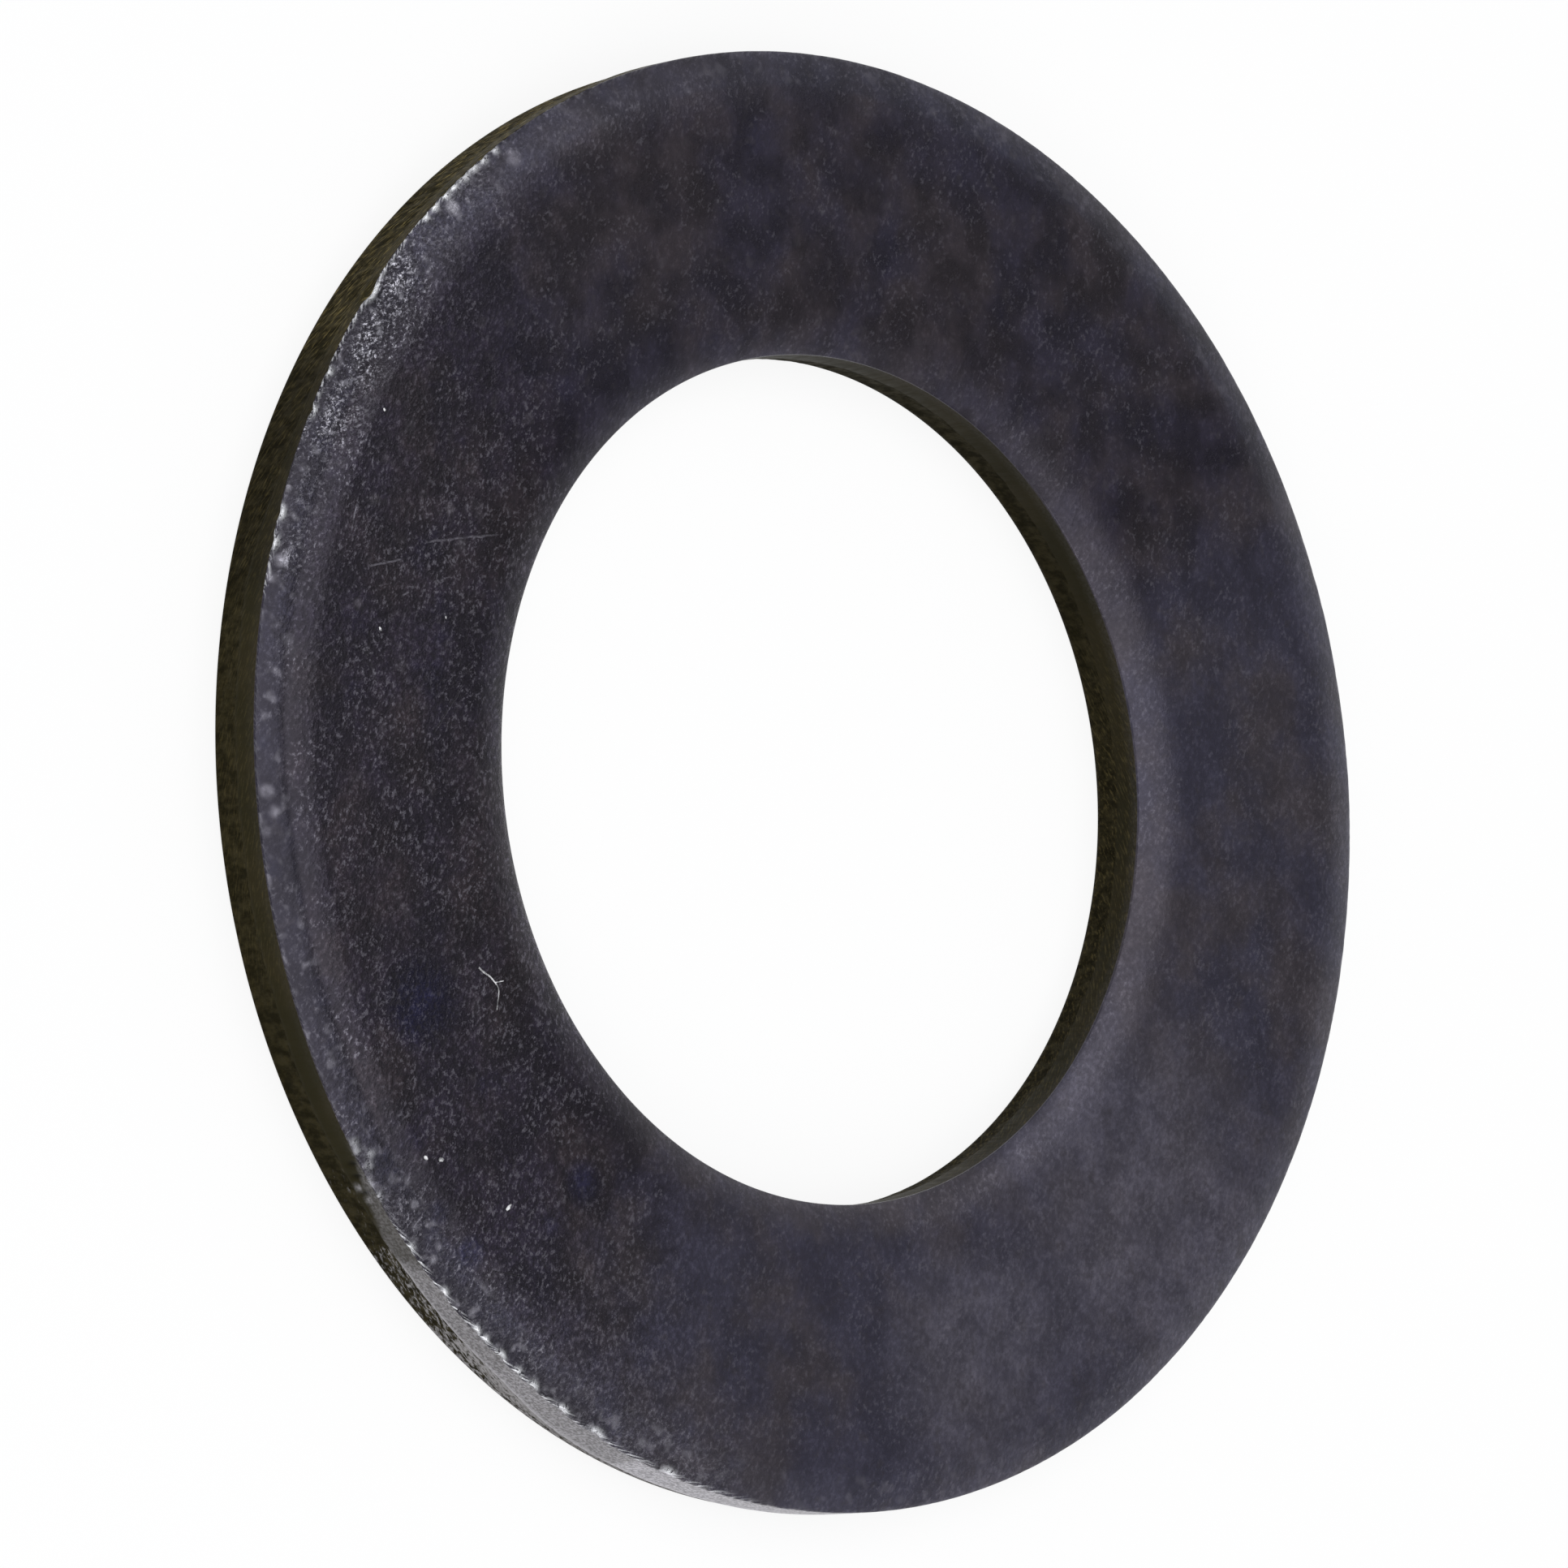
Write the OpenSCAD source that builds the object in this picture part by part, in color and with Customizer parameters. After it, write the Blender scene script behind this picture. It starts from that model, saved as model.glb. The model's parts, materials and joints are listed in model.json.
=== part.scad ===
// Flat washer, stamped from thin steel sheet and blackened.
// It lies on its underside. The top face rolls down at the outside and at the bore, where the
// die pressed the sheet in, and each wall is a smooth sheared land above a torn, leaning break.

/* [Ring] */
// Outside diameter, across the sheared land
outer_d = 11; // [10:0.1:16]
// Diameter of the bore, across the sheared land
bore_d = 6.4; // [4:0.1:7]
// Thickness of the sheet
sheet_t = 0.6; // [0.5:0.05:1.5]

/* [Rolled edges] */
// Width of the band of the top face that rolls down to the outside
outer_roll_w = 0.5; // [0.2:0.05:0.6]
// Drop of the top face at the outside
outer_roll_h = 0.09; // [0.03:0.01:0.12]
// Width of the band of the top face that rolls down to the bore
bore_roll_w = 0.45; // [0.2:0.05:0.6]
// Drop of the top face at the bore
bore_roll_h = 0.1; // [0.03:0.01:0.12]

/* [Sheared walls] */
// Height of the smooth land on the outside
outer_land_h = 0.22; // [0.1:0.01:0.3]
// Height of the smooth land in the bore
bore_land_h = 0.24; // [0.1:0.01:0.3]
// How far the torn part of each wall leans into the ring
break_lean = 0.03; // [0.01:0.005:0.06]
// Radius of the rubbed edges of the underside
rub_r = 0.05; // [0.02:0.01:0.06]

/* [Hidden] */
oxide_black = "#2e2d33";
outer_r = outer_d / 2;
bore_r = bore_d / 2;
// Height at which each land ends and its wall tears
outer_break_z = sheet_t - outer_roll_h - outer_land_h;
bore_break_z = sheet_t - bore_roll_h - bore_land_h;
// How far a cut runs past the sheet
overrun = 0.2;
$fn = 180;

// Radius of an arc that starts level and drops by h over a width w
function arc_r(w, h) = (w * w + h * h) / (2 * h);

// Waste above an arc that rounds off an upper right corner at the origin
module roll_waste(w, h) {
    difference() {
        translate([-w, -h])
            square([w + overrun, h + overrun]);
        translate([-w, -arc_r(w, h)])
            circle(arc_r(w, h));
    }
}

// Waste beside a right-hand wall that tears at the height z, down to its rubbed lower edge
module break_waste(z) {
    polygon([
        [0, z],
        [-break_lean, rub_r],
        [-break_lean, -overrun],
        [overrun, -overrun],
        [overrun, z]
    ]);
    translate([-break_lean, 0])
        mirror([0, 1])
            roll_waste(rub_r, rub_r);
}

// All that one stroke of the die takes off a right-hand wall
module wall_waste(roll_w, roll_h, break_z) {
    translate([0, sheet_t])
        roll_waste(roll_w, roll_h);
    break_waste(break_z);
}

// Section of the ring, to the right of its axis
module ring_section() {
    difference() {
        translate([bore_r, 0])
            square([outer_r - bore_r, sheet_t]);
        translate([outer_r, 0])
            wall_waste(outer_roll_w, outer_roll_h, outer_break_z);
        translate([bore_r, 0])
            mirror([1, 0])
                wall_waste(bore_roll_w, bore_roll_h, bore_break_z);
    }
}

module washer() {
    color(oxide_black)
        rotate_extrude()
            ring_section();
}

washer();
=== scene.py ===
import json
import math

import bmesh
import bpy
import numpy as np
from mathutils import Matrix, Vector, noise


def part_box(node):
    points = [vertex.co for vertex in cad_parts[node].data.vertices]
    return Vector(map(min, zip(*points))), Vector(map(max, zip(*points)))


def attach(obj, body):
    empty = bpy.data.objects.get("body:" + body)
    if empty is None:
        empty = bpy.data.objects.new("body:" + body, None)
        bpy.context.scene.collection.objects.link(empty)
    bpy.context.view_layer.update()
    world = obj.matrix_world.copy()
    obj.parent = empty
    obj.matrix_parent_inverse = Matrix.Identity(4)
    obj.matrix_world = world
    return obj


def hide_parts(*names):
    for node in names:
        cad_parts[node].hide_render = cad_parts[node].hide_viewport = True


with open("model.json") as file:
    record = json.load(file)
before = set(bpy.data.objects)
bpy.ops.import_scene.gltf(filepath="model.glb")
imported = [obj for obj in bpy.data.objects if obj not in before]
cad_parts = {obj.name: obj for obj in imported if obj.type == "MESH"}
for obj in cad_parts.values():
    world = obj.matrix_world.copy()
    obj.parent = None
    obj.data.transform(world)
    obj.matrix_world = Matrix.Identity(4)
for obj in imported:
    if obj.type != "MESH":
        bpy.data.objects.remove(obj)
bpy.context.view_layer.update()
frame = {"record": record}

mm = 0.001
boxLow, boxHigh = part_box("washer")
outerRadius = (boxHigh.x - boxLow.x) / 2
topZ = boxHigh.z
boreMount = next(m for m in frame["record"]["mounts"] if m["name"] == "bore")
boreRadius = boreMount["dims"]["r_mm"] * mm
sizes = (2 * outerRadius, 2 * boreRadius, topZ)
print("frame: outside, bore and thickness", [round(s / mm, 2) for s in sizes], "mm")


# the ring: section of the solid, swept round in steps that are finer on the near side
ring = {
    "facets": 1400,                         # steps round the ring
    "nearSide": (-82, 80),                  # middle and half of the near side, in degrees
    "nearDensity": 2.5,                     # how much finer the steps are there
    "outerRoll": (0.50 * mm, 0.09 * mm),    # width and drop of the rolled edge
    "boreRoll": (0.45 * mm, 0.10 * mm),
    "outerLand": 0.22 * mm,                 # height of the smooth sheared band
    "boreLand": 0.24 * mm,
    "lean": 0.03 * mm,                      # how far the torn band leans in
    "rub": 0.05 * mm,                       # round of the underside's edges
    "lipRound": 0.012 * mm,                 # round where the roll meets the land
    "outerStops": [(0.50 * mm, 5), (0.34 * mm, 9), (0.20 * mm, 8)],     # on the roll: from here, steps
    "boreStops": [(0.45 * mm, 7)],
    "outerSteps": (4, 6, 9, 3),             # points on lip, land, torn band and rub
    "boreSteps": (2, 2, 4, 2),
    "flatSteps": 4,
    "underSteps": 3,
}


def straight(start, end, steps):
    return [tuple(s + (e - s) * k / steps for s, e in zip(start, end)) for k in range(steps)]


def rounded(start, corner, end, steps):
    first = straight(start, corner, steps)
    second = straight(corner, end, steps)
    return [straight(a, b, steps)[k] for k, (a, b) in enumerate(zip(first, second))]


def wallPath(radius, side, roll, land, stops, steps):
    # points are (radius, height, distance past the lip), from the flat of the top down to the underside
    width, drop = roll
    arcRadius = (width ** 2 + drop ** 2) / (2 * drop)
    lipZ = topZ - drop
    lip = ring["lipRound"]
    rub = ring["rub"]
    lipSteps, landSteps, tornSteps, rubSteps = steps

    def onRoll(inward):
        z = topZ - arcRadius + math.sqrt(arcRadius ** 2 - (width - inward) ** 2)
        return (radius - side * inward, z, -inward)

    inward = []
    for (start, count), (end, _) in zip(stops, stops[1:] + [(lip, 0)]):
        inward += [start + (end - start) * k / count for k in range(count)]
    footR = radius - side * ring["lean"]
    landTop = (radius, lipZ - lip, lip)
    landEnd = (radius, lipZ - land, land)
    foot = (footR, rub, lipZ - rub)
    end = (footR - side * rub, 0.0, lipZ)
    path = [onRoll(i) for i in inward]
    path += rounded(onRoll(lip), (radius, lipZ, 0.0), landTop, lipSteps)
    path += straight(landTop, landEnd, landSteps)
    path += straight(landEnd, foot, tornSteps)
    path += rounded(foot, (footR, 0.0, lipZ), end, rubSteps) + [end]
    zones = ["roll"] * len(inward) + ["lip"] * lipSteps + ["land"] * landSteps
    zones += ["torn"] * tornSteps + ["rub"] * rubSteps
    return path, zones


def ringSection():
    outer, outerZones = wallPath(outerRadius, 1, ring["outerRoll"], ring["outerLand"],
                                 ring["outerStops"], ring["outerSteps"])
    bore, boreZones = wallPath(boreRadius, -1, ring["boreRoll"], ring["boreLand"],
                               ring["boreStops"], ring["boreSteps"])
    flat = straight(bore[0], outer[0], ring["flatSteps"])[1:]
    under = straight(outer[-1], bore[-1], ring["underSteps"])[1:]
    points = [(*p, 1) for p in outer] + [(*p, 0) for p in under]
    points += [(*p, -1) for p in bore[::-1]] + [(*p, 0) for p in flat]
    zones = outerZones + ["under"] * ring["underSteps"] + boreZones[::-1] + ["flat"] * ring["flatSteps"]
    return np.array(points), zones


def ramp(values):
    return np.clip(values, 0, 1)


def sector(angles, middle, half):
    # 1 round the middle angle, fading to 0 on both sides
    gap = np.abs((angles - middle + 180) % 360 - 180)
    t = ramp((1.2 * half - gap) / (0.4 * half))
    return t * t * (3 - 2 * t)


def sectors(angles, rows):
    return np.max([sector(angles, middle, half) * amount for middle, half, amount in rows], axis=0)


def turnAngles():
    even = np.linspace(0, 360, 7200, endpoint=False)
    weight = 1 + (ring["nearDensity"] - 1) * sector(even, *ring["nearSide"])
    total = np.append(0, np.cumsum(weight))
    wanted = np.arange(ring["facets"]) * total[-1] / ring["facets"]
    return np.interp(wanted, total, np.append(even, 360))


section, zones = ringSection()
radii, heights, past, side = section.T
angles = turnAngles()
turns = np.radians(angles)
degrees = angles[:, None]
places = np.stack([
    np.outer(np.cos(turns), radii),
    np.outer(np.sin(turns), radii),
    np.tile(heights, (len(turns), 1)),
], axis=-1)
print(f"section: {len(radii)} points, {len(turns)} steps round")


# what stamping and handling left on the ring
wear = {
    "rollSag": 0.012 * mm,                  # how far the drop of the roll wanders
    "sagLength": 2.2 * mm,
    "lipRag": 0.016 * mm,                   # height of the nicks in the lip
    "lipGrain": 0.036 * mm,                 # length of one nick
    "lipReach": 0.026 * mm,                 # how far from the lip they reach
    "lipWave": 0.13 * mm,                   # length of the slower waves in the lip
    "rollFlat": 0.016 * mm,                 # how much flatter the roll is on the near side
    "rollFlatSector": (-95, 45),
    "fringeHalf": 0.015 * mm,               # half width of the bare fringe on the lip
    "fringeBase": 0.05,                     # share of it that the whole lip has
    "fringeShadow": (0.055 * mm, 0.022 * mm),     # painted shadow behind it: place in from the lip, half width
    # burrs on the lip: angle, then half length and rise in millimetres
    "burrs": [
        (-57.5, 0.030, 0.012), (-53.0, 0.035, 0.014), (-48.8, 0.035, 0.026), (-47.7, 0.028, 0.016),
        (-45.8, 0.045, 0.028), (-43.7, 0.035, 0.018), (-41.9, 0.040, 0.020), (-38.5, 0.050, 0.020),
        (-34.8, 0.065, 0.026), (-27.0, 0.060, 0.016), (-124.5, 0.040, 0.020), (-128.0, 0.030, 0.016),
        (-143.9, 0.030, 0.014), (-145.2, 0.032, 0.016), (-146.7, 0.035, 0.016), (-147.8, 0.035, 0.016),
        (-149.1, 0.045, 0.018), (-150.3, 0.040, 0.018), (-151.5, 0.042, 0.018), (-153.0, 0.030, 0.013),
        (-115.9, 0.045, 0.016), (-113.6, 0.050, 0.014),
    ],
    "burrWidth": 0.8,                       # half width of a burr, as a share of its half length
    "burrLean": 0.3,                        # how far it leans in, as a share of its rise
    "burrShine": (0.008 * mm, 0.030 * mm),  # its bare top: place in from the lip, half width
    "burrBright": 0.016 * mm,               # a burr that rises this far is all bare
    "burrShadow": (0.085 * mm, 0.045 * mm),   # painted shadow behind it
    "notchAngle": -135.9,
    "notchRamp": 0.105 * mm,                # the notch rises slowly on one side
    "notchSteep": 0.070 * mm,               # and faster on the other
    "notchDepth": 0.050 * mm,
    "notchReach": 0.060 * mm,
    "notchShine": (0.010 * mm, 0.026 * mm),     # its bare edge: place in from the lip, half width
    "notchShade": (-136.4, 0.055 * mm, 0.050 * mm),   # painted shade in the wall under the notch: angle, fall, half width
    # dark strokes and pale pads where the lip was dragged: angle, place past the lip
    "dragMarks": [(-65.4, 0.09 * mm), (-64.3, 0.11 * mm), (-62.8, 0.11 * mm)],
    "dragHalf": (0.021 * mm, 0.060 * mm),   # half size along the rim and down the wall
    "dragDepth": 0.014 * mm,
    "dragPads": [
        (-67.0, -0.03 * mm), (-66.3, -0.02 * mm), (-65.5, -0.10 * mm), (-64.8, -0.05 * mm),
        (-63.7, 0.02 * mm), (-63.3, 0.16 * mm), (-62.4, -0.01 * mm), (-62.1, 0.12 * mm),
    ],
    "padHalf": 0.031 * mm,
    "padHeight": 0.006 * mm,
    "creasePlace": 0.262 * mm,              # in from the lip
    "creaseHalf": 0.046 * mm,
    "creaseDepth": 0.0058 * mm,
    "creaseSector": (-100, 36),
    "creaseWander": 0.03 * mm,
    "creaseWave": 1.1 * mm,                 # length of one wave of it
    "creaseFade": (0.03 * mm, 0.05 * mm),   # blue oxide starts this far inside it and takes this far
    "tornDepth": 0.013 * mm,                # depth of the pits in the torn band
    "tornGrain": 0.080 * mm,
    "tornSwell": 0.012 * mm,                # how far the foot of the torn band stands out
    "tornFade": (0.02 * mm, 0.05 * mm),     # the pits end this far past the foot, over this length
    "breakWander": 0.026 * mm,              # how far the line above the torn band wanders
    "breakWave": 0.7 * mm,
    "breakJag": 0.13 * mm,
    "breakEdgeHalf": 0.010 * mm,            # half width of the pale line there
    # sectors: middle and half in degrees, amount
    "ragSectors": [(-42, 28, 1.0), (-142, 24, 0.9), (-95, 25, 0.25)],
    "fringeSectors": [(-40, 20, 0.8), (-139, 10, 0.8), (-130, 6, 0.6), (-113, 3.5, 0.45)],
    "landReach": [(-12, 28, 0.14 * mm), (-142, 26, -0.11 * mm)],
    "rubbedSectors": [(-58, 8, 0.20), (-38, 20, 0.52), (-36, 9, 0.62), (-12, 22, 1.0)],
    "rubTaper": (-66.5, -58.0),             # the rubbed band widens between these angles
    "rubTaperFade": 0.05 * mm,
    "rubDrift": 7,                          # how far the rubbed stretches wander, in degrees
    "rubDriftLength": 0.4 * mm,
    "lipRub": (0.02, 0.04, 0.08 * mm),      # rub of both lips: outer, bore, half width
    "footRub": 0.35,                        # rub of the underside's outer edge
    "smearSectors": [(-54, 7, 0.50), (-44, 9, 0.86), (-33, 10, 0.95)],  # grey, on the torn band
    "smearFoot": (0.30 * mm, 0.12 * mm),    # they thin out from this fall on, over this length
    "smearLoss": 0.25,
    "strokeSectors": [(-152, 22, 1.1), (-160, 10, 1.6), (-122, 11, 0.45), (-98, 18, 0.2), (40, 60, 0.4)],
    # here the crystals are denser and the grain deeper, and the crystals are also painted brighter as
    # glints
    "sparkleSectors": [(-131, 9, 1.0), (-143, 9, 0.35), (-120, 9, 0.4), (-42, 22, 0.25)],
    # painted sheen: the oxide is lighter in these sectors
    "paintedSheenSectors": [(35, 75, 1.0), (165, 50, 0.35)],
    "paintedSheenRolls": [(-152, 12, 1.0), (-36, 16, 0.5)],     # here the roll alone has the painted sheen
    # painted shade: darker stretches of the outer wall, and the bore walls all round
    "wallShadeSectors": [(-120, 10, 0.50)],
    "boreShade": 0.45,
    "shadedSector": (-47, 12),              # painted shade: here the roll is darker beside the lip
    "shadedReach": 0.24 * mm,
    "paintedLipShade": (-122, 15),                  # painted shade: here a dull, darker blue band runs beside the lip
    "paintedLipShadeBand": (0.050 * mm, 0.055 * mm),    # place in from the lip, half width
    "crispRange": (1.4 * mm, 3.9 * mm),     # from here to here, towards the near side, the grain grows
    "crispFloor": 0.34,                     # share of the grain that is left elsewhere
    "polishedEdge": 5.05 * mm,              # the near edge is worn smoother from this far out
    "polishedFade": 0.3 * mm,
}


def grainAt(places, length, seed):
    shift = Vector((seed * 7.31, seed * 3.17, seed * 5.73))
    values = [noise.noise(Vector(p) / length + shift) for p in places.reshape(-1, 3)]
    return np.array(values).reshape(places.shape[:-1])


def hump(values, width):
    return np.exp(-(values / width) ** 2)


def arcFrom(angle):
    return ((degrees - angle + 180) % 360 - 180) * math.pi / 180 * outerRadius


def bandAt(place, half):
    # a soft band that runs this far in from the lip
    return hump(past + place, half)


def patchesAt(rows, halfAlong, halfDown):
    patches = [hump(arcFrom(angle), halfAlong) * bandAt(-place, halfDown) for angle, place in rows]
    return sum(patches) * isOuter


isOuter = side > 0
isWall = side != 0
lipZ = topZ - np.where(isOuter, ring["outerRoll"][1], ring["boreRoll"][1])
rollWidth = np.where(isOuter, ring["outerRoll"][0], ring["boreRoll"][0])
landHeight = np.where(isOuter, ring["outerLand"], ring["boreLand"])
wallFall = lipZ - ring["rub"]               # from the lip to the foot of the torn band
outerRoll = isOuter & (past <= 0)
belowLip = isWall & (past > 0)
onCut = belowLip & (past < wallFall)        # land and torn band
onRoll = np.where(isWall & (past <= 0), ramp(1 + past / rollWidth), 0)      # 1 at the lip
onLand = np.where(belowLip, ramp(1 - past / landHeight), 0)
onTorn = np.where(isWall, ramp((past - landHeight) / (wallFall - landHeight)), 0)
nearBreak = np.where(past < landHeight, past / landHeight, 1 - onTorn) * onCut
tornPast, tornFade = wear["tornFade"]
tornMask = ramp((wallFall + tornPast - past) / tornFade) * (isWall & (past > landHeight))
rubMask = isWall & (past >= wallFall)

outward = np.zeros(places.shape[:2])        # along the radius, away from the steel
lift = np.zeros(places.shape[:2])

sag = grainAt(places, wear["sagLength"], 1) * wear["rollSag"]
lift -= np.abs(sag) * np.where(past <= 0, onRoll ** 2, onLand)
flatter = 16 * onRoll ** 2 * (1 - onRoll) ** 2 * isOuter
lift -= flatter * wear["rollFlat"] * sector(degrees, *wear["rollFlatSector"])

rag = sectors(degrees, wear["ragSectors"]) * 0.9 + 0.1
nearLip = hump(past, wear["lipReach"]) * isOuter
drawn = places * [1, 1, 0.3]                # drawn out down the wall
nick = grainAt(drawn, wear["lipGrain"], 2) + 0.5 * grainAt(places, wear["lipGrain"] / 2.3, 3)
nick += 0.9 * grainAt(drawn, wear["lipWave"], 9)
nick = nick * nearLip * rag * wear["lipRag"]
outward += np.minimum(nick, 0) * 0.8
lift += nick

shine = np.zeros(places.shape[:2])          # bare metal on the burrs
paintedShadowBehindLip = np.zeros(places.shape[:2])         # and the painted shadow behind each of them
for angle, halfLength, height in wear["burrs"]:
    half = halfLength * mm
    rise = height * mm
    along = hump(arcFrom(angle), half) * isOuter
    burr = along * hump(past, half * wear["burrWidth"]) * rise
    lift += burr
    outward -= burr * wear["burrLean"]
    shine += along * bandAt(*wear["burrShine"]) * min(1, rise / wear["burrBright"])
    paintedShadowBehindLip += along * bandAt(*wear["burrShadow"])

along = arcFrom(wear["notchAngle"])
notch = hump(along, np.where(along < 0, wear["notchSteep"], wear["notchRamp"]))
notch = notch * hump(past, wear["notchReach"]) * isOuter
lift -= notch * wear["notchDepth"] * 0.7
outward -= notch * wear["notchDepth"]

drags = patchesAt(wear["dragMarks"], *wear["dragHalf"])
pads = patchesAt(wear["dragPads"], wear["padHalf"], wear["padHalf"])
outward -= drags * wear["dragDepth"]
lift += pads * wear["padHeight"]

creaseWander = grainAt(places, wear["creaseWave"], 4) * wear["creaseWander"]
crease = bandAt(wear["creasePlace"] + creaseWander, wear["creaseHalf"]) * isOuter
crease = crease * sector(degrees, *wear["creaseSector"])
lift -= crease * wear["creaseDepth"]

pits = grainAt(places, wear["tornGrain"], 5) + 0.6 * grainAt(places, wear["tornGrain"] / 2.6, 6)
outward -= side * (0.35 + 0.65 * np.clip(pits + 0.3, 0, 1.4)) * tornMask * wear["tornDepth"]
outward += side * onTorn * wear["tornSwell"]

level = places * [1, 1, 0]
wander = grainAt(level, wear["breakWave"], 7) + 0.45 * grainAt(level, wear["breakJag"], 8)
lift += wander * nearBreak * wear["breakWander"]
for middle, half, reach in wear["landReach"]:
    lift -= sector(degrees, middle, half) * reach * nearBreak * isOuter

spread = radii[None, :] + outward
verts = np.stack([
    np.cos(turns)[:, None] * spread,
    np.sin(turns)[:, None] * spread,
    heights[None, :] + lift,
], axis=-1)

fringe = sectors(degrees, wear["fringeSectors"]) * isOuter
bareMetal = wear["fringeBase"] * isOuter + (1 - wear["fringeBase"]) * fringe
bareMetal = hump(past, wear["fringeHalf"]) * bareMetal
shine = shine + ramp(notch * 1.8 - 0.2) * bandAt(*wear["notchShine"]) + 0.35 * pads
# painted shadow just inside the bare fringe of the lip
paintedShadowBehindLip = paintedShadowBehindLip + 0.8 * fringe * bandAt(*wear["fringeShadow"])

drift = wear["rubDrift"] * grainAt(places * [1, 1, 0.6], wear["rubDriftLength"], 10)
rubbed = sectors(degrees + drift, wear["rubbedSectors"]) * isOuter
smeared = np.maximum(rubbed, sectors(degrees + drift, wear["smearSectors"]) * isOuter)
smearFall, smearLength = wear["smearFoot"]
smeared = smeared * (1 - wear["smearLoss"] * ramp((past - smearFall) / smearLength))
taperStart, taperEnd = wear["rubTaper"]
taperAngle = taperEnd - taperStart
widening = ramp(arcFrom(taperStart) / (taperAngle * math.pi / 180 * outerRadius))
tapered = ramp((widening * ring["outerLand"] - past) / wear["rubTaperFade"] + 0.7)
atTaper = sector(degrees, (taperStart + taperEnd) / 2, taperAngle) > 0
rubbed = np.where(atTaper & (past <= landHeight), rubbed * tapered, rubbed)
rubbed = np.maximum(rubbed, np.minimum(0.5 * pads, 0.5))
outerRub, boreRub, lipRubHalf = wear["lipRub"]
rubbed = np.maximum(rubbed, np.where(isOuter, outerRub, boreRub) * hump(past, lipRubHalf) * isWall)
rubbed = np.where(rubMask & isOuter, np.maximum(rubbed, wear["footRub"]), rubbed)

nearness = -places[..., 1]
crispStart, crispEnd = wear["crispRange"]
crisp = ramp((nearness - crispStart) / (crispEnd - crispStart))
crisp = wear["crispFloor"] + (1 - wear["crispFloor"]) * crisp * crisp * (3 - 2 * crisp)
polished = ramp((nearness - wear["polishedEdge"]) / wear["polishedFade"])
creaseInside, creaseFade = wear["creaseFade"]
pastCrease = ramp((past + wear["creasePlace"] + creaseInside) / creaseFade) * outerRoll
# painted shade in a band beside the lip, where the crystals also thin out
paintedLipShade = bandAt(*wear["paintedLipShadeBand"]) * sector(degrees, *wear["paintedLipShade"])
sparkling = 0.03 + 0.97 * sectors(degrees, wear["sparkleSectors"])
sparkling = sparkling * (1 - 0.7 * paintedLipShade)

# painted shade beside the lip, and the painted shadow behind the burrs and the fringe
besideLip = ramp(1 + past / wear["shadedReach"]) * outerRoll
shaded = besideLip * sector(degrees, *wear["shadedSector"]) + 0.9 * paintedShadowBehindLip
# painted shade in the wall under the notch
shadeAngle, shadeFall, shadeHalf = wear["notchShade"]
shaded += patchesAt([(shadeAngle, shadeFall)], shadeHalf, shadeHalf)
# painted shade on the walls and the bore walls; the drag dents and the band beside the lip are darkened
# too
wallShade = np.where(isOuter, sectors(degrees, wear["wallShadeSectors"]), wear["boreShade"])
shaded += wallShade * belowLip + drags + 0.6 * paintedLipShade * outerRoll
paintedSheenRoll = sectors(degrees, wear["paintedSheenRolls"]) * onRoll * isOuter
tints = {
    "bareMetal": ramp(bareMetal),
    "shine": ramp(shine),
    "crisp": crisp * (1 - 0.7 * polished),
    "blotchy": np.maximum(crisp, polished),
    "paintedSheen": np.maximum(sectors(degrees, wear["paintedSheenSectors"]), paintedSheenRoll),
    "rubbed": rubbed,
    "smeared": smeared,
    "breakEdge": bandAt(-landHeight, wear["breakEdgeHalf"]) * isOuter + 0 * degrees,
    "rolled": ramp(pastCrease + 0.3 * onRoll) * (1 - 0.6 * crease),
    "sparkle": onRoll ** 0.8 * isOuter * sparkling,
    "shaded": ramp(shaded),
    "strokes": sectors(degrees, wear["strokeSectors"]) * isWall,
}
around = np.radians((degrees + 270) % 360) * radii
wallPlace = np.stack([around, past + 0 * around, 0 * around], axis=-1)      # along and down the walls
print("wear: nicks, burrs, notch, drag marks, crease and torn grain")


def buildRing():
    count = len(radii)
    corner = np.arange(len(turns))[:, None] * count + np.arange(count)[None, :]
    beside = np.roll(corner, -1, axis=0)
    faces = np.stack([corner, np.roll(corner, -1, axis=1), np.roll(beside, -1, axis=1), beside], axis=-1)
    finishOf = {"flat": 0, "roll": 0, "lip": 0, "under": 0, "land": 1, "torn": 2, "rub": 2}
    finishes = np.tile([finishOf[z] for z in zones], len(turns)).astype(np.int32)
    made = bpy.data.meshes.new("washer_ring")
    made.from_pydata(verts.reshape(-1, 3).tolist(), [], faces.reshape(-1, 4).tolist())
    made.polygons.foreach_set("material_index", finishes)
    made.polygons.foreach_set("use_smooth", np.ones(len(made.polygons), bool))
    for name, values in tints.items():
        tint = made.attributes.new(name, "FLOAT", "POINT")
        tint.data.foreach_set("value", values.reshape(-1).astype(np.float32))
    placed = made.attributes.new("wallPlace", "FLOAT_VECTOR", "POINT")
    placed.data.foreach_set("vector", wallPlace.reshape(-1).astype(np.float32))
    made.update()
    return made


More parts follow.
